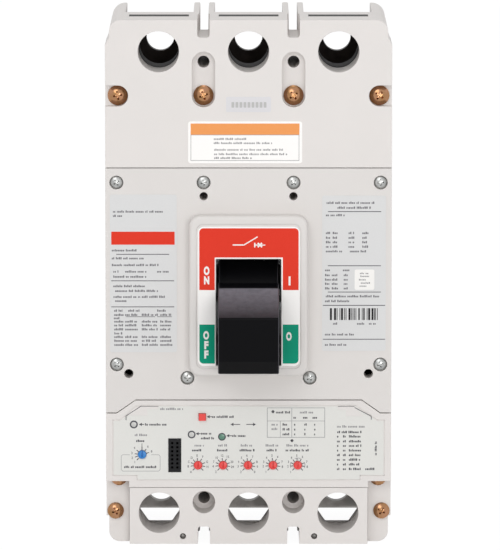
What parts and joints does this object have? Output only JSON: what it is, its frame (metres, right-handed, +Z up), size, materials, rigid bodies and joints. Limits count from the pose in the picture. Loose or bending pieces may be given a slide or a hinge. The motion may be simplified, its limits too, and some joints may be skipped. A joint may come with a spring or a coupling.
{
  "type": "molded case circuit breaker",
  "caption": "Tall light grey molded case breaker with a black toggle handle, dial-set trip unit, arc vents, screw access holes and terminal bars.",
  "frame": {"origin": "centre of the flat rear face that lies against the panel", "axes": "+X to the right seen from the front, +Z up toward the line end, the front faces -Y"},
  "size_m": [0.1392, 0.1339, 0.2572],
  "materials": {
    "case_plastic": "fine matt moulded polyester",
    "cover_plastic": "fine matt moulded cover",
    "handle_plastic": "polished black",
    "bar_plastic": "dark moulded phenolic",
    "fibre": "vulcanised fibre",
    "tinned_copper": "tin-plated copper",
    "copper": "bare copper",
    "contact_silver": "silver alloy",
    "insert_brass": "turned brass",
    "steel": "zinc-plated sheet steel",
    "spring_steel": "spring wire",
    "gold_zinc": "yellow zinc",
    "silver_zinc": "bright zinc",
    "winding": "varnished core and winding",
    "board": "solder-masked board with parts",
    "face_plate": "printed polyester plate",
    "connector": "black moulded socket",
    "button_red": "red moulded",
    "dial_red": "red moulded",
    "dial_blue": "blue moulded",
    "lens": "translucent",
    "silver_label": "silver-grey printed film",
    "write_on": "white film with an orange band",
    "plate": "pale film",
    "switch_label": "red, white and green printed film"
  },
  "bodies": {
    "case": {"base": "case_plastic", "main_cover": "case_plastic", "accessory_cover": "cover_plastic", "load_end_cover": "case_plastic", "vent_screens": "steel", "cover_inserts": "insert_brass", "arc_chute_frames": "fibre", "fixed_contacts": "contact_silver", "flexible_shunts": "copper", "mechanism_frame": "steel", "frame_pins": "steel", "trip_unit_housing": "case_plastic", "trip_face_plate": "face_plate", "trip_circuit_board": "board", "trip_actuator": "steel", "trip_button_spring": "spring_steel", "test_connector": "connector", "indicator_lenses": "lens", "cover_screws": "gold_zinc", "accessory_screws": "silver_zinc", "load_cover_screws": "silver_zinc", "rating_labels": "silver_label", "write_on_label": "write_on", "number_plate": "plate", "handle_label": "switch_label", "line_conductor_left": "tinned_copper", "load_conductor_left": "tinned_copper", "arc_plates_left": "steel", "current_transformer_left": "winding", "line_conductor_center": "tinned_copper", "load_conductor_center": "tinned_copper", "arc_plates_center": "steel", "current_transformer_center": "winding", "line_conductor_right": "tinned_copper", "load_conductor_right": "tinned_copper", "arc_plates_right": "steel", "current_transformer_right": "winding"},
    "handle": {"handle": "handle_plastic", "handle_yoke": "steel", "main_springs": "spring_steel"},
    "crossbar": {"crossbar": "bar_plastic", "contact_arm_left": "copper", "contact_arm_center": "copper", "contact_arm_right": "copper", "moving_contacts": "contact_silver"},
    "lower_links": {"lower_links": "steel", "knee_pin": "steel"},
    "upper_links": {"upper_links": "steel"},
    "cradle": {"cradle": "steel"},
    "latch": {"latch": "steel"},
    "trip_bar": {"trip_bar": "bar_plastic"},
    "trip_button": {"trip_button": "button_red"},
    "trip_plunger": {"trip_plunger": "steel"},
    "maintenance_dial": {"maintenance_dial": "dial_blue"},
    "long_pickup_dial": {"long_pickup_dial": "dial_red"},
    "long_time_dial": {"long_time_dial": "dial_red"},
    "short_pickup_dial": {"short_pickup_dial": "dial_red"},
    "short_time_dial": {"short_time_dial": "dial_red"},
    "ground_pickup_dial": {"ground_pickup_dial": "dial_red"}
  },
  "joints": [
    {"name": "handle_swing", "type": "hinge", "parent": "case", "child": "handle", "pos_m": [0, -0.0719, -0.0128], "axis": [-1, 0, 0], "range_deg": [-2.5, 22]},
    {"name": "crossbar_turn", "type": "hinge", "parent": "case", "child": "crossbar", "pos_m": [0, -0.034, -0.014], "axis": [-1, 0, 0], "range_deg": [-2.63, 23.1]},
    {"name": "lower_link_turn", "type": "hinge", "parent": "crossbar", "child": "lower_links", "pos_m": [0, -0.04029, -0.00149], "axis": [-1, 0, 0], "range_deg": [-5.29, 0.6]},
    {"name": "upper_link_turn", "type": "hinge", "parent": "lower_links", "child": "upper_links", "pos_m": [0, -0.05378, -0.0011], "axis": [-1, 0, 0], "range_deg": [-51.15, 5.81]},
    {"name": "cradle_turn", "type": "hinge", "parent": "case", "child": "cradle", "pos_m": [0, -0.063, 0.026], "axis": [-1, 0, 0], "range_deg": [0, 6], "stiffness_Nm_per_rad": 0.25, "springref_deg": -3.44},
    {"name": "latch_turn", "type": "hinge", "parent": "case", "child": "latch", "pos_m": [0, -0.056, -0.052], "axis": [1, 0, 0], "range_deg": [0, 18]},
    {"name": "trip_bar_turn", "type": "hinge", "parent": "case", "child": "trip_bar", "pos_m": [0, -0.074, -0.055], "axis": [1, 0, 0], "range_deg": [0, 10]},
    {"name": "button_press", "type": "slide", "parent": "case", "child": "trip_button", "axis": [0, 1, 0], "range_m": [0, 0.0025], "stiffness_N_per_m": 100},
    {"name": "plunger_slide", "type": "slide", "parent": "case", "child": "trip_plunger", "axis": [0, 0, 1], "range_m": [0, 0.003]},
    {"name": "maintenance_dial_turn", "type": "hinge", "parent": "case", "child": "maintenance_dial", "pos_m": [-0.052, -0.092, -0.0843], "axis": [0, -1, 0], "range_deg": [-135, 135]},
    {"name": "long_pickup_dial_turn", "type": "hinge", "parent": "case", "child": "long_pickup_dial", "pos_m": [-0.0247, -0.092, -0.0896], "axis": [0, -1, 0], "range_deg": [-135, 135]},
    {"name": "long_time_dial_turn", "type": "hinge", "parent": "case", "child": "long_time_dial", "pos_m": [-0.0125, -0.092, -0.0896], "axis": [0, -1, 0], "range_deg": [-135, 135]},
    {"name": "short_pickup_dial_turn", "type": "hinge", "parent": "case", "child": "short_pickup_dial", "pos_m": [-0.0003, -0.092, -0.0896], "axis": [0, -1, 0], "range_deg": [-135, 135]},
    {"name": "short_time_dial_turn", "type": "hinge", "parent": "case", "child": "short_time_dial", "pos_m": [0.0119, -0.092, -0.0896], "axis": [0, -1, 0], "range_deg": [-135, 135]},
    {"name": "ground_pickup_dial_turn", "type": "hinge", "parent": "case", "child": "ground_pickup_dial", "pos_m": [0.024, -0.092, -0.0896], "axis": [0, -1, 0], "range_deg": [-135, 135]}
  ],
  "couplings": [
    {"joint": "crossbar_turn", "follows": "handle_swing", "ratio": 1.05},
    {"joint": "lower_link_turn", "follows": "handle_swing", "ratio": -0.24059},
    {"joint": "upper_link_turn", "follows": "handle_swing", "ratio": -2.3251},
    {"joint": "latch_turn", "follows": "cradle_turn", "ratio": 3},
    {"joint": "trip_bar_turn", "follows": "cradle_turn", "ratio": 1.6667},
    {"joint": "button_press", "follows": "cradle_turn", "m_per_rad": 0.023873}
  ]
}
